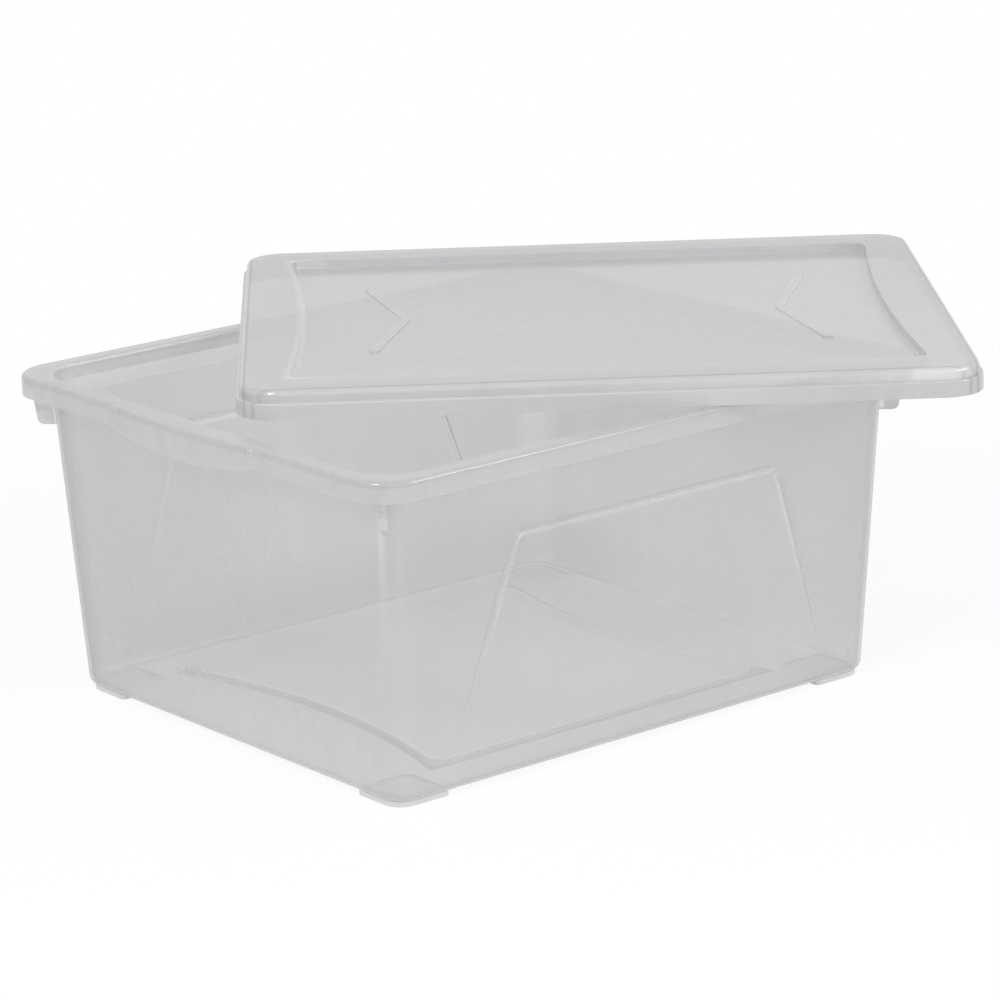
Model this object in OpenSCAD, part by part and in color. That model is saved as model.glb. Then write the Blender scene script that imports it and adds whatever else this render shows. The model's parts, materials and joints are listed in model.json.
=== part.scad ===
// Storage box with a lift-off lid, both moulded in thin clear plastic.
//
// The tub has leaning walls that turn into a flat floor through a round edge, a rim with a
// turned-down skirt, a bowed lip at each end to lift it by, a stiffening rib under each corner of
// the rim, and four shallow feet. The lid has a stepped skirt and a sunken top, and the feet of
// another box drop into that top when boxes are stacked.
//
// The lid lies as the box stands in use with its lid taken off: level, turned across the rim, and
// resting on the rim where its skirt crosses it. The origin is on the table, under the middle of
// the box that holds tub and lid as they lie. X runs along the tub, Y across it and Z is up.

/* [Tub] */
// Length over the rim, without the lips
rim_length = 400; // [340:5:460]
// Width over the rim
rim_width = 350; // [300:5:400]
// Height from the table to the top of the rim
tub_height = 190; // [160:5:220]
// Thickness of the tub's walls and rim
wall = 1.8; // [1.4:0.1:2.4]
// Thickness of the tub's floor
floor_wall = 2.2; // [1.6:0.1:3]
// Lean of the walls, in degrees from upright
wall_lean = 4.15; // [3:0.05:5]
// Radius of the wall's upright corners, down at the floor
base_corner_radius = 14; // [14:0.5:18]
// Radius where the outside of the walls turns into the floor
floor_edge_radius = 6.5; // [5:0.5:6.5]

/* [Rim] */
// How far the rim stands out past the wall
rim_overhang = 11.5; // [10:0.5:14]
// Depth of the rim's turned-down skirt
skirt_depth = 12; // [10:0.5:15]
// Radius of the rim's corners
rim_corner_radius = 26; // [22:1:30]
// Rounding of the rim's outer top edge
rim_edge_radius = 2.5; // [2:0.25:3]
// Rounding of the rim's inner edge, at the mouth
mouth_radius = 1.8; // [1:0.2:2]

/* [Lifting lips] */
// How far each lip bows out past the rim
lip_reach = 4.5; // [3.5:0.5:6]
// How far the lip already stands out where it starts
lip_step = 2; // [1.5:0.25:2.5]
// Length of each lip
lip_length = 136; // [110:2:160]
// Depth of the lip's skirt at its middle, where the fingers go
lip_depth = 18; // [16:0.5:24]
// Radius of the lip's ends
lip_end_radius = 5; // [4:0.5:7]

/* [Corner ribs] */
// Thickness of the rib under each corner of the rim
rib_thickness = 4.5; // [3:0.5:6]
// Depth of the rib below the top of the rim
rib_depth = 31; // [24:1:38]
// Gap from the rib's outer edge to the skirt's outside, over the corner
rib_setback = 4; // [3.5:0.5:9]
// Rounding of the rib's outer bottom corner
rib_round = 4; // [2:0.5:5]

/* [Side panels] */
// Height of the top of the sunken panel on each long side, below the rim
panel_drop = 49; // [42:1:60]
// Height above the table where the panel runs out into the wall
panel_foot = 20; // [16:1:30]
// Depth of the panel at its top edge
panel_depth = 1.6; // [1:0.1:2]
// Width of the panel along its top edge
panel_top_width = 188; // [150:2:200]
// Width of the panel where it runs out
panel_foot_width = 270; // [220:2:276]
// Rounding of the panel's top corners
panel_round = 10; // [6:1:14]

/* [Floor] */
// Height of the feet
foot_height = 2.5; // [1.5:0.25:4]
// Length of each corner foot along both walls
foot_length = 36; // [30:1:42]
// How far the feet stand in from the floor's edge
foot_inset = 3; // [2.5:0.25:5]
// Rounding of the feet's inner corners
foot_round = 8; // [5:1:10]
// Length of the raised middle of the floor, along its sides
floor_panel_length = 240; // [200:5:250]
// Width of the raised middle of the floor
floor_panel_width = 226; // [190:5:226]
// How far its ends curve in
floor_panel_bow = 17; // [8:1:20]
// Height that the middle of the floor is raised
floor_panel_rise = 2; // [1:0.25:3]

/* [Lid] */
// Height of the lid, from the skirt's lower edge to the top
lid_height = 16.5; // [14.5:0.5:19]
// Thickness of the lid
lid_wall = 1.7; // [1.4:0.1:2]
// Height of the skirt's wider lower part
lid_flange_height = 9.2; // [8:0.2:10]
// How far the lower part stands out past the upper part
lid_step = 2.2; // [2:0.1:2.8]
// Gap all round between the rim and the lid's skirt, when the box is closed
lid_fit = 0.5; // [0.3:0.1:0.8]
// Radius of the lid's corners
lid_corner_radius = 24; // [20:1:26]
// Rounding of the lid's top edge
lid_edge_radius = 3.5; // [2.5:0.25:4]
// Depth of the sunken top
lid_recess = 4.5; // [3.5:0.25:5.5]
// How far the ends of the sunken top curve in
lid_recess_bow = 8; // [4:1:12]
// Rounding of the sunken top's corners
lid_recess_round = 8; // [5:1:12]
// Play of a stacked box's feet in the sunken top, across it
stack_fit = 1; // [0.5:0.25:2]
// More play along it, where the curved ends come in
stack_end_room = 5; // [4:0.5:7]

/* [Lid ribs] */
// Distance of the arrow ribs' points from the middle of the lid
arrow_point = 107; // [100:1:115]
// How far their arms lie further out than the points
arrow_sweep = 20; // [12:1:28]
// Span of each arrow rib, across the lid
arrow_span = 156; // [120:4:180]
// Width of the arrow ribs
arrow_width = 5; // [4:0.5:7]
// Height of the arrow ribs
arrow_rise = 1; // [0.6:0.1:1.4]

/* [Where the lid lies] */
// How far the lid is turned across the tub, in degrees
lid_turn = -37; // [-40:1:-34]
// How far the lid's middle lies along the tub, from the tub's own
lid_shift_x = 98; // [90:1:104]
// How far it lies across the tub
lid_shift_y = 2.5; // [-6:0.5:8]

/* [Hidden] */
$fn = 96;
bleed = 1;                                   // how far a cut runs past what it cuts
lean = tan(wall_lean);

// The tub's corners keep one centre from floor to rim: only their radius grows with height.
wall_height = tub_height - foot_height;
top_corner_radius = base_corner_radius + wall_height * lean;
corner_x = rim_length / 2 - rim_overhang - top_corner_radius;
corner_y = rim_width / 2 - rim_overhang - top_corner_radius;
inner_floor_radius = floor_edge_radius - wall;
floor_top = foot_height + floor_wall;

rim_corner_x = rim_length / 2 - rim_corner_radius;
rim_corner_y = rim_width / 2 - rim_corner_radius;

foot_x = corner_x + base_corner_radius - foot_inset;      // outer sides of the feet
foot_y = corner_y + base_corner_radius - foot_inset;

panel_top = tub_height - panel_drop;

lip_half = lip_length / 2;
lip_bow_radius = (pow(lip_half, 2) + pow(lip_reach - lip_step, 2)) / (2 * (lip_reach - lip_step));
lip_centre = rim_length / 2 + lip_reach - lip_bow_radius;
lip_end_y = lip_half - lip_end_radius;
lip_end_x = lip_centre + sqrt(pow(lip_bow_radius - lip_end_radius, 2) - pow(lip_end_y, 2));
lip_swing = asin(lip_end_y / (lip_bow_radius - lip_end_radius));
lip_root = lip_reach + 4;                    // how far the lip's top reaches in over the rim

lid_x = rim_length / 2 + lip_reach + lid_fit + lid_wall;  // outside of the lid's lower skirt
lid_y = rim_width / 2 + lid_fit + lid_wall;
recess_x = foot_x + stack_fit + stack_end_room;
recess_y = foot_y + stack_fit;

// The frame's origin is on the table, under the middle of the box round tub and lid as they lie.
lid_reach_x = (lid_x - lid_corner_radius) * cos(lid_turn)
            - (lid_y - lid_corner_radius) * sin(lid_turn) + lid_corner_radius;
set_middle = [(lid_shift_x + lid_reach_x - rim_length / 2 - lip_reach) / 2, lid_shift_y, 0];

// Radius of the tub's upright corners at height z, outside
function corner_at(z) = base_corner_radius + (z - foot_height) * lean;
function unit(v) = v / norm(v);

// An outline through the given points. Point i is rounded to radii[i]; 0 leaves it sharp, and only
// corners that point outwards are rounded.
module rounded(points, radii) {
    n = len(points);
    arms = [for (i = [0:n - 1])
        [unit(points[(i + n - 1) % n] - points[i]), unit(points[(i + 1) % n] - points[i])]];
    half = [for (a = arms) acos(a[0] * a[1]) / 2];
    polygon([for (i = [0:n - 1]) for (a = radii[i] > 0 ? arms[i] : [[0, 0]])
        points[i] + a * radii[i] / tan(half[i])]);
    for (i = [0:n - 1])
        if (radii[i] > 0)
            translate(points[i] + unit(arms[i][0] + arms[i][1]) * radii[i] / sin(half[i]))
                circle(radii[i]);
}

// Sweeps a side profile round a rectangle with rounded corners. The profile's x is the distance
// out from the corners' centres, which stand at [+-cx, +-cy], and its y is the height.
module around(cx, cy) {
    corners = [[cx, cy], [-cx, cy], [-cx, -cy], [cx, -cy]];
    for (i = [0:3])
        translate(corners[i]) rotate(90 * i) rotate_extrude(angle = 90) children();
    for (turn = [0, 180]) rotate(turn) {
        translate([cx, 0, 0]) rotate([90, 0, 0]) linear_extrude(2 * cy, center = true) children();
        translate([0, cy, 0]) rotate(90) rotate([90, 0, 0])
            linear_extrude(2 * cx, center = true) children();
    }
}

// The flat middle that closes what around() leaves open, between two heights
module middle(cx, cy, low, high) {
    translate([-cx, -cy, low]) cube([2 * cx, 2 * cy, high - low]);
}

// Repeats its children at all four corners, mirrored
module at_corners() {
    for (mx = [0, 1], my = [0, 1]) mirror([mx, 0, 0]) mirror([0, my, 0]) children();
}

// A rectangle, given by its half sizes, whose two ends curve in, with round corners
module bowed_panel(half_length, half_width, bow, round) {
    end_radius = (pow(half_width, 2) + pow(bow, 2)) / (2 * bow);
    end_x = half_length - bow + end_radius;
    // centre of a corner's round, and the point where it meets the curved end
    round_y = half_width - round;
    round_x = end_x - sqrt(pow(end_radius + round, 2) - pow(round_y, 2));
    meet = [end_x, 0] + ([round_x, round_y] - [end_x, 0]) * end_radius / (end_radius + round);
    difference() {
        square([2 * half_length, 2 * half_width], center = true);
        for (side = [-1, 1]) translate([side * end_x, 0]) circle(end_radius, $fn = 360);
        at_corners() polygon([[round_x, half_width], [round_x, half_width + 1],
                                [half_length + 1, half_width + 1], meet]);
    }
    at_corners() translate([round_x, round_y]) circle(round);
}

// One side of the tub's body in section, set in from the outside by `inset`
module body_section(bottom, top, inset, bottom_round) {
    slant = inset / cos(wall_lean);
    rounded([[0, bottom], [corner_at(bottom) - slant, bottom], [corner_at(top) - slant, top], [0, top]],
            [0, bottom_round, 0, 0]);
}

// The solid that the outside of the walls bounds, up into the rim
module body_outside() {
    top = tub_height - wall / 2;
    around(corner_x, corner_y) body_section(foot_height, top, 0, floor_edge_radius);
    middle(corner_x, corner_y, foot_height, top);
}

// The space inside the walls, up through the rounded mouth
module body_inside() {
    mouth = corner_at(tub_height) - wall / cos(wall_lean);
    around(corner_x, corner_y) {
        body_section(floor_top, tub_height + bleed, wall, inner_floor_radius);
        difference() {
            translate([0, tub_height - mouth_radius]) square([mouth + mouth_radius, mouth_radius + bleed]);
            translate([mouth + mouth_radius, tub_height - mouth_radius]) circle(mouth_radius);
        }
    }
    middle(corner_x, corner_y, floor_top, tub_height + bleed);
}

// The wedge that sinks the panel on a long side: all that lies outside the panel's face, which is
// `depth` in from the wall at the panel's top and meets the wall at its foot.
module panel_wedge(inset, grow) {
    slant = inset / cos(wall_lean);
    foot_face = corner_y + corner_at(panel_foot) - slant;
    top_face = corner_y + corner_at(panel_top) - slant;
    reach = 12;
    intersection() {
        rotate([90, 0, 90]) linear_extrude(rim_length, center = true)
            polygon([[foot_face, panel_foot], [top_face - panel_depth, panel_top + grow],
                     [top_face + reach, panel_top + grow], [foot_face + reach, panel_foot]]);
        rotate([90, 0, 0]) linear_extrude(rim_width + 2 * reach, center = true)
            rounded([[-panel_foot_width / 2 - grow, panel_foot], [panel_foot_width / 2 + grow, panel_foot],
                     [panel_top_width / 2 + grow, panel_top + grow],
                     [-panel_top_width / 2 - grow, panel_top + grow]],
                    [0, 0, panel_round + grow, panel_round + grow]);
    }
}

module both_sides() {
    for (turn = [0, 180]) rotate(turn) children();
}

// The rim's cross-section: its top, its round outer edge and its skirt, with the outside at `reach`
module rim_section(reach, depth, root) {
    difference() {
        rim_outline(reach, depth, root);
        translate([reach - root - bleed, tub_height - depth - bleed])
            square([root + bleed - wall, depth + bleed - wall]);
    }
}

// The same section filled in, as where a lip ends in a solid post
module rim_outline(reach, depth, root) {
    rounded([[reach - root, tub_height - depth], [reach, tub_height - depth],
             [reach, tub_height], [reach - root, tub_height]],
            [0, 0, rim_edge_radius, 0]);
}

// One lifting lip, on the +X end: the rim's own section carried round a wide curve, with a round
// post closing each end. Its skirt is cut to a smile, deepest in the middle.
module lip() {
    difference() {
        union() {
            translate([lip_centre, 0, 0]) rotate(-lip_swing)
                rotate_extrude(angle = 2 * lip_swing, $fn = 720)
                    rim_section(lip_bow_radius, lip_depth, lip_root);
            for (side = [-1, 1])
                translate([lip_end_x, side * lip_end_y, 0])
                    rotate_extrude() rim_outline(lip_end_radius, lip_depth, lip_end_radius);
        }
        translate([rim_length / 2, 0, 0]) rotate([90, 0, 90])
            linear_extrude(4 * lip_root, center = true) below_smile();
    }
}

// All that lies under the lip's lower edge, seen from the end of the tub
module below_smile() {
    rise = lip_depth - skirt_depth;
    radius = (pow(lip_half, 2) + pow(rise, 2)) / (2 * rise);
    difference() {
        translate([-lip_length, tub_height - lip_depth - bleed])
            square([2 * lip_length, lip_depth + bleed - wall - rim_edge_radius]);
        translate([0, tub_height - lip_depth + radius]) circle(radius, $fn = 360);
    }
}

// The gap that the lip leaves behind it, where the fingers go, cut through the straight skirt
module finger_gap() {
    translate([rim_length / 2 - rim_edge_radius - bleed, -lip_end_y, tub_height - skirt_depth - bleed])
        cube([rim_edge_radius + 2 * bleed, 2 * lip_end_y, skirt_depth + bleed - wall]);
}

// The upright rib under a corner of the rim, standing out from the wall over the corner
module corner_rib() {
    apart = (rim_corner_x - corner_x) * sqrt(2);          // from the wall's centre to the rim's
    function root(z) = corner_at(z) - wall / 2 - apart;
    low = tub_height - rib_depth;
    tip = rim_corner_radius - rib_setback;
    translate([rim_corner_x, rim_corner_y, 0]) rotate([90, 0, 45])
        linear_extrude(rib_thickness, center = true)
            rounded([[root(low), low], [tip - rib_depth * lean * 2, low],
                     [tip, tub_height - wall / 2], [root(tub_height), tub_height - wall / 2]],
                    [0, rib_round, 0, 0]);
}

// A foot's outline, grown or shrunk by `grow`
module foot_plan(grow) {
    inner_x = foot_x - foot_length;
    inner_y = foot_y - foot_length;
    rounded([[inner_x - grow, inner_y - grow], [foot_x + grow, inner_y - grow],
             [foot_x + grow, foot_y + grow], [inner_x - grow, foot_y + grow]],
            [foot_round + grow, 3 + grow, base_corner_radius - foot_inset + grow, 3 + grow]);
}

module tub() {
    color([0.86, 0.86, 0.87, 0.5])
    translate(-set_middle) difference() {
        union() {
            difference() {
                body_outside();
                both_sides() panel_wedge(0, 0);
                translate([0, 0, foot_height - bleed]) linear_extrude(floor_panel_rise + bleed)
                    bowed_panel(floor_panel_length / 2, floor_panel_width / 2, floor_panel_bow, 8);
            }
            at_corners() linear_extrude(floor_top - floor_wall / 2) foot_plan(0);
            // rim
            difference() {
                around(rim_corner_x, rim_corner_y)
                    rim_section(rim_corner_radius, skirt_depth, rim_corner_radius);
                both_sides() finger_gap();
            }
            middle(rim_corner_x, rim_corner_y, tub_height - wall, tub_height);
            both_sides() lip();
            at_corners() corner_rib();
        }
        difference() {
            body_inside();
            both_sides() panel_wedge(wall, wall);
            translate([0, 0, floor_top - bleed]) linear_extrude(floor_panel_rise + bleed)
                bowed_panel(floor_panel_length / 2 + floor_wall, floor_panel_width / 2 + floor_wall,
                            floor_panel_bow, 8 + floor_wall);
        }
        at_corners() translate([0, 0, floor_wall]) linear_extrude(foot_height + bleed) foot_plan(-wall);
    }
}

// The lid's stepped edge in section, from the corners' centres out, with the top left flat
module lid_edge_section() {
    upper = lid_corner_radius - lid_step;
    difference() {
        union() {
            rounded([[0, 0], [upper, 0], [upper, lid_height], [0, lid_height]], [0, 0, lid_edge_radius, 0]);
            rounded([[0, 0], [lid_corner_radius, 0], [lid_corner_radius, lid_flange_height],
                     [0, lid_flange_height]], [0, 0, lid_wall / 2, 0]);
        }
        translate([-bleed, -bleed]) {
            rounded([[0, 0], [upper + bleed - lid_wall, 0],
                     [upper + bleed - lid_wall, lid_height + bleed - lid_wall],
                     [0, lid_height + bleed - lid_wall]], [0, 0, lid_edge_radius - lid_wall, 0]);
            square([lid_corner_radius + bleed - lid_wall, lid_flange_height + bleed - lid_wall]);
        }
    }
}

// One arrow rib on the lid, pointing at the middle from the +X end
module arrow_rib() {
    far = arrow_point + arrow_sweep;
    span = arrow_span / 2;
    polygon([[far, span], [arrow_point, 0], [far, -span],
             [far + arrow_width, -span], [arrow_point + arrow_width, 0], [far + arrow_width, span]]);
}

// The lid in its own place: its skirt's lower edge at height 0, its middle on the Z axis
module lid_at_home() {
    centre_x = lid_x - lid_corner_radius;
    centre_y = lid_y - lid_corner_radius;
    recess_floor = lid_height - lid_recess;
    difference() {
        union() {
            around(centre_x, centre_y) lid_edge_section();
            middle(centre_x, centre_y, lid_height - lid_wall, lid_height);
            translate([0, 0, recess_floor - lid_wall]) linear_extrude(lid_recess + lid_wall / 2)
                bowed_panel(recess_x + lid_wall, recess_y + lid_wall, lid_recess_bow,
                            lid_recess_round + lid_wall);
        }
        translate([0, 0, recess_floor]) linear_extrude(lid_recess + bleed)
            bowed_panel(recess_x, recess_y, lid_recess_bow, lid_recess_round);
    }
    both_sides() translate([0, 0, recess_floor - lid_wall / 2])
        linear_extrude(lid_wall / 2 + arrow_rise) arrow_rib();
}

module lid() {
    color([0.9, 0.9, 0.91, 0.5])
    translate([lid_shift_x, lid_shift_y, tub_height] - set_middle) rotate(lid_turn) lid_at_home();
}

tub();
lid();
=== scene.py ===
# %% [markdown]
# # A clear storage tub and its lid
#
# The real object is two thin plastic mouldings, milky and see-through: a deep tub with a rolled rim,
# and a lid that here lies crosswise on it. Their shapes come from the CAD part. This file gives them
# their plastic, sets them on a pale floor in soft light, and looks at them as the photograph does.

# %% Load the part
import json
import math

import bpy
from mathutils import Matrix, Vector

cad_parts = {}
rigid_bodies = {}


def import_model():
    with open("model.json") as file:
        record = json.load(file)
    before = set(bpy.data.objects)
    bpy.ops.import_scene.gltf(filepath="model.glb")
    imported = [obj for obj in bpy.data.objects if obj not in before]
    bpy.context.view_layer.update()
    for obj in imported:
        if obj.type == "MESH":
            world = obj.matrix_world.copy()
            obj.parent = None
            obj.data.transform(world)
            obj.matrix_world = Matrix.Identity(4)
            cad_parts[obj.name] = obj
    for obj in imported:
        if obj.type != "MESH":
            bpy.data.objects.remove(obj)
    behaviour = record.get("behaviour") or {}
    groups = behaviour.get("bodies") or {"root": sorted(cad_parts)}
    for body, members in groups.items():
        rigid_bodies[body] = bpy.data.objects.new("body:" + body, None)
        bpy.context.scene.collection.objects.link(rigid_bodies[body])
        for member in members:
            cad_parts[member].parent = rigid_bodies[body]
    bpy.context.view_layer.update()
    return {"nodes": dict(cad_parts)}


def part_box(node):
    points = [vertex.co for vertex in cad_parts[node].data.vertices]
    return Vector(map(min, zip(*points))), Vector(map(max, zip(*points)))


for leftover in list(bpy.data.objects):
    bpy.data.objects.remove(leftover)
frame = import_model()
tub, lid = frame["nodes"]["tub"], frame["nodes"]["lid"]


def middle_of(name):
    """Where the middle of a node is on the table."""
    low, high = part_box(name)
    return Vector(((low.x + high.x) / 2, (low.y + high.y) / 2, 0))


for piece in (tub, lid):
    low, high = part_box(piece.name)
    print(piece.name, "measures", [round(1000 * s, 1) for s in high - low], "mm")

# %% [markdown]
# ## The camera
#
# The photograph was taken from far off with a long lens, so upright lines stay almost parallel. The
# corners of the rim, the lid and the base were matched to it, which gives where the camera stands,
# which way it looks and how strong its lens is. A camera looks along its own -Z, so its turn is built
# from three arrows: right, up and back.

# %% Set up the camera
def camera_turn(azimuth, elevation, roll):
    back = Vector((math.sin(azimuth) * math.cos(elevation),
                   -math.cos(azimuth) * math.cos(elevation), math.sin(elevation)))
    right = Vector((math.cos(azimuth), math.sin(azimuth), 0))
    up = back.cross(right)
    right, up = (right * math.cos(roll) + up * math.sin(roll),
                 up * math.cos(roll) - right * math.sin(roll))
    return Matrix((right, up, back)).transposed().to_4x4()


CAMERA_FROM_TUB = Vector((-1.50387, -1.88710, 0.78781))
AZIMUTH, ELEVATION, ROLL = (math.radians(degrees) for degrees in (-39.03, 15.74, -1.47))
LENS_MM = 156.41

camera_data = bpy.data.cameras.new("camera")
camera_data.sensor_width = 36
camera_data.lens = LENS_MM
camera_data.shift_x, camera_data.shift_y = -0.0048, 0.0007
camera_data.clip_end = 100
camera = bpy.data.objects.new("camera", camera_data)
camera.matrix_world = (Matrix.Translation(middle_of("tub") + CAMERA_FROM_TUB)
                       @ camera_turn(AZIMUTH, ELEVATION, ROLL))
bpy.context.scene.collection.objects.link(camera)
bpy.context.scene.camera = camera
print("camera is", round((camera.matrix_world.translation - middle_of("tub")).length, 2), "m away")

# %% [markdown]
# ## Writing shaders as sums
#
# A finish is a small network of nodes. Wiring them one by one is long to read, so `Wire` wraps a
# node's output and lets it be added, multiplied and compared like a number, and `Finish` holds the
# network of one material and makes any other node in one call.

# %% Shader helpers
class Wire:
    """The output of a node, which can stand in a sum."""

    def __init__(self, finish, socket):
        self.finish, self.socket = finish, socket

    def math(self, operation, *others):
        return self.finish.node("ShaderNodeMath", {"operation": operation}, {
            i: value for i, value in enumerate((self, *others))})

    def __add__(self, other): return self.math("ADD", other)
    def __radd__(self, other): return self.math("ADD", other)
    def __sub__(self, other): return self.math("SUBTRACT", other)
    def __rsub__(self, other): return (self * -1).math("ADD", other)
    def __mul__(self, other): return self.math("MULTIPLY", other)
    def __truediv__(self, other): return self.math("DIVIDE", other)
    def __abs__(self): return self.math("ABSOLUTE")


class Finish:
    """A material's network of nodes, or the world's."""

    def __init__(self, owner):
        owner.use_nodes = True
        self.owner, self.tree = owner, owner.node_tree
        self.tree.nodes.clear()

    def node(self, kind, settings=None, inputs=None, output=0):
        made = self.tree.nodes.new(kind)
        for name, value in (settings or {}).items():
            setattr(made, name, value)
        for key, value in (inputs or {}).items():
            if isinstance(value, Wire):
                self.tree.links.new(value.socket, made.inputs[key])
            else:
                made.inputs[key].default_value = value
        return Wire(self, made.outputs[output])

    def show(self, shader):
        """Makes this shader the one that is seen."""
        is_world = isinstance(self.owner, bpy.types.World)
        out = self.tree.nodes.new("ShaderNodeOutputWorld" if is_world else "ShaderNodeOutputMaterial")
        self.tree.links.new(shader.socket, out.inputs["Surface"])

    def step(self, wire, start, end):
        """0 below start, 1 above end, and smooth between them."""
        return self.node("ShaderNodeMapRange", {"interpolation_type": "SMOOTHSTEP"},
                         {"Value": wire, "From Min": start, "From Max": end})


print("shader helpers are ready")

# %% [markdown]
# ## The plastic
#
# Both mouldings are clear, slightly milky polypropylene, the lid a little milkier. Real refraction
# would be slow and noisy through so many thin walls, so the light that goes straight on is left to the
# material's alpha: a face of the tub stops about a third of it and one of the lid about half, and a
# wall seen edge-on, a longer way through plastic, stops more. What the faces stop comes back as a soft
# grey, and on top lies the gloss of polished plastic.
#
# A mould is never quite even. Broad, shallow waves bend the reflections on the flat walls, faint
# streaks run up them where the plastic flowed, and the polish changes from place to place.

# %% Clear plastic
PLAIN_GLOSS, GRAZING_GLOSS = 0.04, 0.5      # face on, and what a grazing look adds to it
SLANT_DENSER = 0.35
LAMP_LIGHT_LET_THROUGH = 0.75


def clear_plastic(material, tone, stopped, painted_light_and_density):
    """The last argument, given a finish and a place, gives the painted light and shade there and how
    much denser the plastic is.
    """
    finish = Finish(material)
    place = finish.node("ShaderNodeTexCoord", output="Object")
    painted_light_and_tone, denser = painted_light_and_density(finish, place)
    waves = finish.node("ShaderNodeTexNoise", None, {"Vector": place, "Scale": 11.0, "Detail": 1.0})
    flow = finish.node("ShaderNodeTexNoise", None, {
        "Vector": finish.node("ShaderNodeVectorMath", {"operation": "MULTIPLY"},
                              {0: place, 1: (90, 90, 4)}), "Scale": 1.0, "Detail": 3.0})
    polish = finish.node("ShaderNodeTexNoise", None, {"Vector": place, "Scale": 60.0, "Detail": 4.0})

    slant = finish.node("ShaderNodeLayerWeight", None, {"Blend": 0.5}, output="Facing")
    alpha = stopped + slant * slant * SLANT_DENSER + denser + (flow - 0.5) * 0.05
    # the colour carries the painted light and shade from the last argument, and random streaks and
    # waves of tone
    brightness = painted_light_and_tone + 1 + (flow - 0.5) * 0.06 + (waves - 0.5) * 0.05
    # inputs 6 and 7 of this node are the two colours, and output 2 is their product
    shade = finish.node("ShaderNodeMix", {"data_type": "RGBA", "blend_type": "MULTIPLY"}, {
        "Factor": 1.0, 6: (*tone, 1), 7: finish.node("ShaderNodeCombineColor", None, {
            name: brightness for name in ("Red", "Green", "Blue")})}, output=2)
    bump = finish.node("ShaderNodeBump", None, {"Strength": 0.2, "Distance": 0.001, "Height": waves})
    body = finish.node("ShaderNodeBsdfPrincipled", None, {
        "Base Color": shade, "Roughness": 0.5, "Specular IOR Level": 0.0,
        "Alpha": alpha.math("MAXIMUM", 0.05).math("MINIMUM", 0.96), "Normal": bump})
    gloss = finish.node("ShaderNodeBsdfGlossy", None, {
        "Color": (1, 1, 1, 1), "Roughness": 0.10 + polish * 0.10, "Normal": bump})
    skin = finish.node("ShaderNodeMixShader", None, {
        0: PLAIN_GLOSS + slant.math("POWER", 5.0) * GRAZING_GLOSS, 1: body, 2: gloss})

    # lamps shine through the walls more than the eye sees through them, so the inside isn't dark
    lamp_ray = finish.node("ShaderNodeLightPath", output="Is Shadow Ray")
    finish.show(finish.node("ShaderNodeMixShader", None, {
        0: lamp_ray * LAMP_LIGHT_LET_THROUGH, 1: skin, 2: finish.node("ShaderNodeBsdfTransparent")}))


def from_middle(finish, place, middle):
    """How far a place lies from a middle along X, Y and Z, in millimetres."""
    apart = finish.node("ShaderNodeVectorMath", {"operation": "SUBTRACT"}, {0: place, 1: middle})
    return [finish.node("ShaderNodeSeparateXYZ", None, {0: apart}, output=i) * 1000 for i in range(3)]


print("plastic is ready")

# %% [markdown]
# ## Painted light and shade on the tub, and where it is denser
#
# Clear plastic shows its own edges: light runs along inside a wall and leaves where the wall bends.
# That light is painted into the tub's colour: the outlines of the floor's raised panel and of the side
# panels get thin painted highlights with a painted dark line beside them, the upright corners painted
# highlight lines, and the foot of the walls a paler painted band. Each is found from the place alone:
# from a distance outside such a shape, in millimetres, and from `line`, which is 1 along a thin line at
# one such distance. Together they are painted light and shade laid over the plastic's own tone.

# %% Tub
# places on the tub, in millimetres from its middle; the corners' are the middles of their rounds
CORNER_X, CORNER_Y = 160.9, 135.9
WALL_FROM_CORNER, WALL_LEAN = 13.8, 0.0726
PANEL_ENDS, PANEL_SIDES, PANEL_BOW = 105.2, 115.2, 17
SIDE_PANEL_TOP, SIDE_PANEL_HALF_TOP, SIDE_PANEL_SPREAD = 141, 94, 0.339


def line(finish, distance, at, half_width):
    return 1 - finish.step(abs(distance - at), half_width * 0.3, half_width)


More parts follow.
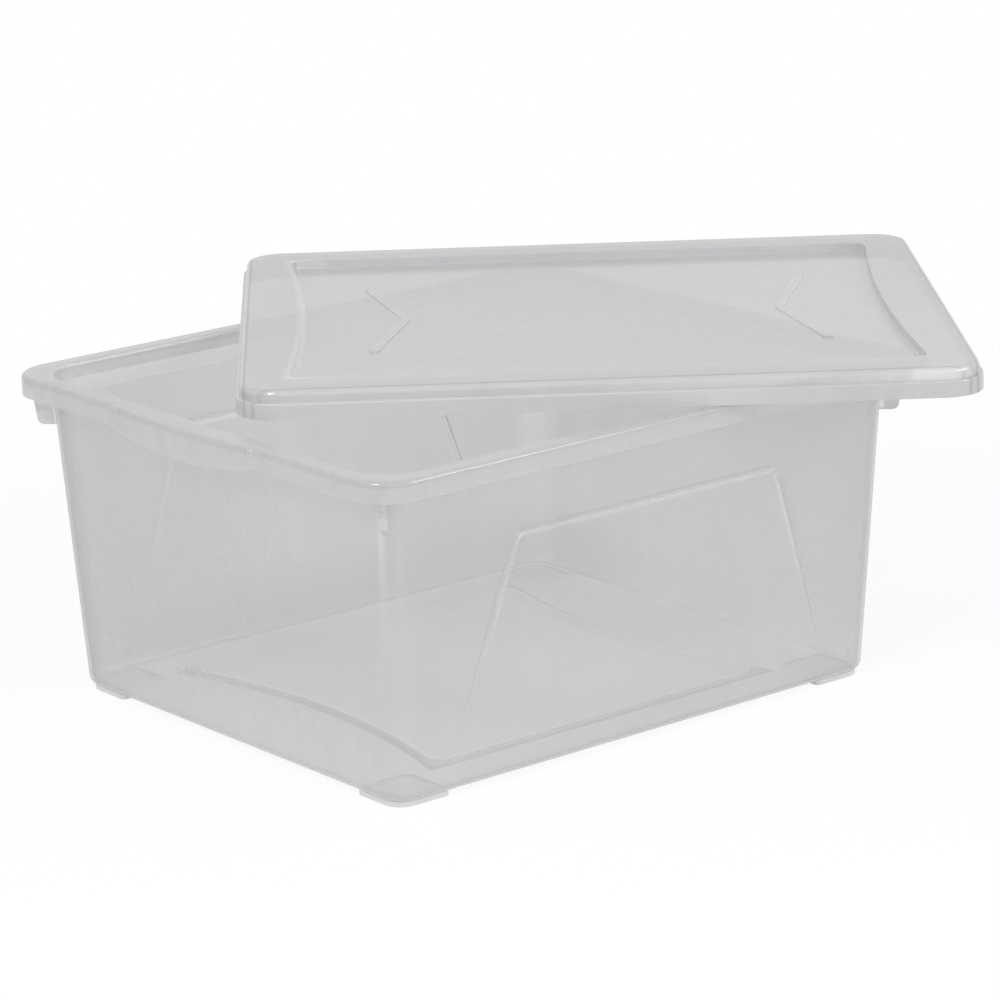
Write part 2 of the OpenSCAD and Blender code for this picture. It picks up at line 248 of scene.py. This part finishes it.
def tub_painted_light_and_density(finish, place):
    x, y, z = from_middle(finish, place, middle_of("tub"))
    # The photograph's light is flatter than this room's. That is evened out here with painted light and
    # shade: the two far walls are a little denser and painted darker, the near ones painted paler, and
    # the near rim is painted paler under the lid, where the lid's shadow falls. The far walls meet at
    # their corner end, and at their open end the lid leaves them bare.
    far = finish.step((x - CORNER_X).math("MAXIMUM", y - CORNER_Y), -15.0, 5.0)
    near = finish.step((-CORNER_X - x).math("MAXIMUM", -CORNER_Y - y), -15.0, 5.0)
    corner_end, open_end = finish.step(y, 20.0, 110.0), 1 - finish.step(x, -140.0, 0.0)
    under_lid = finish.step(x, 20.0, 120.0)
    x, y = abs(x), abs(y)
    # how far a place lies outside the walls, which lean out and have round upright corners
    out_x, out_y = (x - CORNER_X).math("MAXIMUM", 0.0), (y - CORNER_Y).math("MAXIMUM", 0.0)
    depth = (out_x * out_x + out_y * out_y).math("SQRT") - WALL_FROM_CORNER - z * WALL_LEAN
    inside = 1 - finish.step(depth, -1.3, -0.5)
    # the floor, and the raised panel on it whose ends bow in
    bow = (y / PANEL_SIDES).math("POWER", 2.0) * PANEL_BOW
    panel = (y - PANEL_SIDES).math("MAXIMUM", x - PANEL_ENDS - bow)
    on_panel = 1 - finish.step(panel, 2.5, 5.0)
    floor = 1 - finish.step(z - on_panel * 3, 4.8, 5.4)
    top_side = finish.step(z - on_panel * 2, 4.5, 4.65)
    # the floor's top side is painted paler, painted light from above, and the panel's outline gets a
    # painted highlight line with a painted dark line beside it
    painted_light_and_tone = floor * (top_side * 0.60 + line(finish, panel, -2.0, 2.0) * 0.2
                       - line(finish, panel, 1.8, 2.4) * 0.14)
    # painted light and shade on the walls: the near walls are painted paler and the far ones darker,
    # and the foot of the walls is painted darker inside, a painted reflection of the floor, most on the
    # far walls at their corner end, and painted paler outside
    foot = 1 - finish.step(z, 12.0, 60.0)
    foot_shade = inside * (0.27 + far * corner_end * (0.78 - open_end * 0.55))
    painted_light_and_tone = painted_light_and_tone + (1 - floor) * (near * 0.07 - far * (0.03 + open_end * 0.06)
                                       + foot * (0.16 - foot_shade))
    # the upright corners: painted highlight lines, fading out towards the foot
    corner = finish.step(x, 156.0, 166.0) * finish.step(y, 131.0, 141.0)
    below_rim = 1 - finish.step(z, 166.0, 172.0)
    across = (x - CORNER_X) - (y - CORNER_Y)
    painted_light_and_tone = painted_light_and_tone + corner * below_rim * finish.step(z, 60.0, 160.0) * (
        line(finish, across, 5.0, 3.5) * 0.22 + line(finish, across, -8.0, 3.0) * 0.10)
    # the side panels, wider at the foot than at the top: a painted highlight along their outline with a
    # faint painted dark line outside it
    side = (finish.step(y, 126.0, 130.0) * finish.step(z, 55.0, 100.0)
            * (1 - finish.step(z, 143.0, 147.0)))
    edge = (z - SIDE_PANEL_TOP).math(
        "MAXIMUM", x - SIDE_PANEL_HALF_TOP - (SIDE_PANEL_TOP - z) * SIDE_PANEL_SPREAD)
    painted_light_and_tone = painted_light_and_tone + side * (line(finish, edge, -1.2, 2.2) * 0.28
                                - line(finish, edge, 2.0, 3.0) * 0.08)
    # the rim: painted paler, most on the far walls' rim and on the near rim under the lid, with a dark
    # line of painted shade along its round outer edge; its corners are dense
    rim = finish.step(z, 171.0, 174.0)
    painted_light_and_tone = painted_light_and_tone + rim * (0.02 + near * (under_lid * 0.14 - 0.02)
                               + far * (0.12 + inside * 0.20))
    painted_light_and_tone = painted_light_and_tone - line(finish, z, 187.8, 2.2) * 0.10
    # the feet and the ribs under the rim's corners are thicker than the walls
    feet = 1 - finish.step(z, 2.0, 4.0)
    rib = finish.step(depth, 2.0, 3.5) * corner * below_rim
    denser = (floor * 0.20 + feet * 0.25 + rib * 0.40 + far * (0.05 + open_end * 0.06)
              + rim * (0.05 + corner * 0.12 + far * inside * 0.15))
    return painted_light_and_tone + feet * 0.30, denser


TUB_TONE, TUB_STOPPED = (0.50, 0.49, 0.50), 0.31
clear_plastic(tub.data.materials[0], TUB_TONE, TUB_STOPPED, tub_painted_light_and_density)
print("tub has its plastic")

# %% [markdown]
# ## Painted light and shade on the lid, and where it is denser
#
# The lid lies turned on the tub, so its own right-angled outline is found by turning the place back by
# as much. Its lower skirt is denser than the top, painted paler at the left and darker at the right,
# and the step above it is painted paler; a thin dark line of painted shade runs along the top's round
# edge, and the wall of the sunken top and the arrow-shaped ribs get painted highlights where they catch
# the light.

# %% Lid
LID_TURN = math.radians(37)
# places on the lid, in millimetres from its middle; the first two are the outside of its upper step
LID_ENDS, LID_SIDES = 204.5, 175.0
SUNK_ENDS, SUNK_SIDES, SUNK_BOW = 169.9, 147.9, 8
ARROW_POINT, ARROW_SWEEP, ARROW_WIDTH = 107, 0.256, 5.0


def lid_painted_light_and_density(finish, place):
    x, y, z = from_middle(finish, place, middle_of("lid") + Vector((0, 0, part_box("lid")[0].z)))
    reach = x * math.cos(LID_TURN) - y * math.sin(LID_TURN)
    along = abs(reach)
    across = abs(x * math.sin(LID_TURN) + y * math.cos(LID_TURN))
    # the sunken top: painted highlights on its wall, at the left end and along the sides, weaker at the
    # right end where the wall is dark, and its border a little darker
    bow = (across / SUNK_SIDES).math("POWER", 2.0) * SUNK_BOW
    sunk = (across - SUNK_SIDES).math("MAXIMUM", along - SUNK_ENDS - bow)
    border = finish.step(sunk, -0.5, 0.5)
    left, right = finish.step(reach * -1, 150.0, 160.0), finish.step(reach, 150.0, 160.0)
    painted_light_and_tone = (border * -0.03 + left * line(finish, sunk, 1.0, 3.0) * 0.10
               + line(finish, sunk, -0.9, 1.8) * (0.20 - right * 0.14))
    # the arrow-shaped ribs: painted highlight lines along both of their edges
    arrow = along - ARROW_POINT - across * ARROW_SWEEP
    painted_light_and_tone = painted_light_and_tone + (1 - finish.step(across, 70.0, 78.0)) * (
        line(finish, arrow, 0.0, 2.0) * 0.08 + line(finish, arrow, ARROW_WIDTH, 2.0) * 0.10)
    # the lower skirt, painted paler at the left and darker at the right, the step above it painted
    # paler, and a dark line of painted shade along the top's round edge
    skirt = 1 - finish.step(z, 7.5, 10.5)
    out = (along - LID_ENDS).math("MAXIMUM", across - LID_SIDES)
    painted_light_and_tone = painted_light_and_tone + (1 - skirt) * finish.step(out, -3.0, -0.8) * 0.14
    painted_light_and_tone = painted_light_and_tone - line(finish, out, -2.7, 1.2) * 0.18
    return painted_light_and_tone + skirt * (0.15 - finish.step(reach, -40.0, 170.0) * 0.21), skirt * 0.28


LID_TONE, LID_STOPPED = (0.535, 0.522, 0.538), 0.49
clear_plastic(lid.data.materials[0], LID_TONE, LID_STOPPED, lid_painted_light_and_density)
print("lid has its plastic")

# %% [markdown]
# ## The room
#
# The tub stands on a large pale floor under a plain, bright sky. What the camera, a reflection or a
# ray through plastic meets is white, and the light itself is kept level, so that a colour comes out
# about as it is written. Near the tub a little of the floor's matt paint is mixed in, which takes the
# tub's soft shadow.

# %% Floor
def is_seen(finish):
    rays = [finish.node("ShaderNodeLightPath", output=name)
            for name in ("Is Camera Ray", "Is Glossy Ray", "Is Transmission Ray")]
    return rays[0].math("MAXIMUM", rays[1]).math("MAXIMUM", rays[2])


def make_floor(half, height):
    mesh = bpy.data.meshes.new("floor")
    mesh.from_pydata([(-half, -half, height), (half, -half, height), (half, half, height),
                      (-half, half, height)], [], [(0, 1, 2, 3)])
    floor = bpy.data.objects.new("floor", mesh)
    bpy.context.scene.collection.objects.link(floor)
    mesh.materials.append(bpy.data.materials.new("pale_floor"))
    finish = Finish(mesh.materials[0])
    matt = finish.node("ShaderNodeBsdfDiffuse", None, {"Color": (0.9, 0.9, 0.9, 1)})
    white = finish.node("ShaderNodeEmission", None, {"Color": (1, 1, 1, 1), "Strength": 1.0})
    place = finish.node("ShaderNodeTexCoord", output="Object")
    distance = finish.node("ShaderNodeVectorMath", {"operation": "LENGTH"}, {0: place}, output=1)
    away = finish.step(distance, 0.35, 0.9)
    # the share of white in what is seen goes from 0.85 near the tub to all of it far out
    finish.show(finish.node("ShaderNodeMixShader", None, {
        0: is_seen(finish) * (0.85 + away * 0.15), 1: matt, 2: white}))
    return floor


floor = make_floor(half=30, height=-0.0003)
print("floor is", floor.dimensions.x, "m wide")

# %% Sky
world = bpy.data.worlds.new("studio")
bpy.context.scene.world = world
sky = Finish(world)
# pure white where it is seen, and 0.62 of that as a light
light = 0.62 + is_seen(sky) * 0.38
sky.show(sky.node("ShaderNodeBackground", None, {"Color": (1, 1, 1, 1), "Strength": light}))
print("sky is ready")

# %% [markdown]
# ## Soft lamps
#
# Two softboxes. A small one, high on the left, gives the round rims and corners their small highlights.
# It stands far enough to the side that few straight edges mirror it into the camera. A wide one on the
# right, whose mirror image is fainter, lights the long side.

# %% Lamps
def softbox(name, place, aim, size, power):
    data = bpy.data.lights.new(name, "AREA")
    data.shape, data.size, data.size_y = "RECTANGLE", *size
    data.energy = power
    lamp = bpy.data.objects.new(name, data)
    lamp.location = place
    lamp.rotation_euler = (Vector(aim) - Vector(place)).to_track_quat("-Z", "Y").to_euler()
    bpy.context.scene.collection.objects.link(lamp)
    return lamp


softbox("key_softbox", (-2.2, -0.9, 2.2), (0, 0, 0.1), (0.6, 0.6), 44)
softbox("side_softbox", (1.2, -2.4, 1.4), (0, 0, 0.1), (1.2, 1.2), 32)
bpy.context.scene.view_settings.view_transform = "Standard"
print("lamps are lit")
